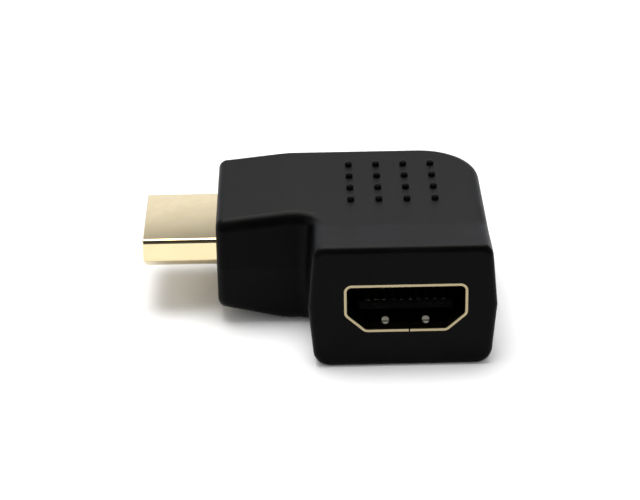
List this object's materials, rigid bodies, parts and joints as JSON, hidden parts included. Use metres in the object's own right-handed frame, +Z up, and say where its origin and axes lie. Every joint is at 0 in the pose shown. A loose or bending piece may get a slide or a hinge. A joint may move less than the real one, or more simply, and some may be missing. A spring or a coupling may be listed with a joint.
{
  "type": "hdmi adapter",
  "caption": "Flat right-angle adapter: black moulded elbow with a gold plug on one leg and a recessed socket of the same family in the face of the other.",
  "frame": {"origin": "on the flat underside, directly below the point where the plug axis crosses the socket axis", "axes": "+Z up, towards the wide edge of both connectors; the plug points along -X; the socket opens along -Y"},
  "size_m": [0.0427, 0.0317, 0.0157],
  "materials": {
    "housing_plastic": "satin black moulded plastic",
    "inner_plastic": "natural moulded plastic",
    "board_laminate": "green solder mask",
    "gold_shell": "pale gold plating, satin",
    "black_carrier": "black moulded resin",
    "contact_gold": "gold plating on spring strip"
  },
  "bodies": {
    "root": {"housing": "housing_plastic", "inner_mould": "inner_plastic", "circuit_board": "board_laminate", "plug_shell": "gold_shell", "plug_insulator": "black_carrier", "socket_shell": "gold_shell", "socket_insulator": "black_carrier", "plug_contact_01": "contact_gold", "plug_contact_02": "contact_gold", "plug_contact_03": "contact_gold", "plug_contact_04": "contact_gold", "plug_contact_05": "contact_gold", "plug_contact_06": "contact_gold", "plug_contact_07": "contact_gold", "plug_contact_08": "contact_gold", "plug_contact_09": "contact_gold", "plug_contact_10": "contact_gold", "plug_contact_11": "contact_gold", "plug_contact_12": "contact_gold", "plug_contact_13": "contact_gold", "plug_contact_14": "contact_gold", "plug_contact_15": "contact_gold", "plug_contact_16": "contact_gold", "plug_contact_17": "contact_gold", "plug_contact_18": "contact_gold", "plug_contact_19": "contact_gold", "socket_contact_01": "contact_gold", "socket_contact_02": "contact_gold", "socket_contact_03": "contact_gold", "socket_contact_04": "contact_gold", "socket_contact_05": "contact_gold", "socket_contact_06": "contact_gold", "socket_contact_07": "contact_gold", "socket_contact_08": "contact_gold", "socket_contact_09": "contact_gold", "socket_contact_10": "contact_gold", "socket_contact_11": "contact_gold", "socket_contact_12": "contact_gold", "socket_contact_13": "contact_gold", "socket_contact_14": "contact_gold", "socket_contact_15": "contact_gold", "socket_contact_16": "contact_gold", "socket_contact_17": "contact_gold", "socket_contact_18": "contact_gold", "socket_contact_19": "contact_gold"}
  },
  "joints": []
}
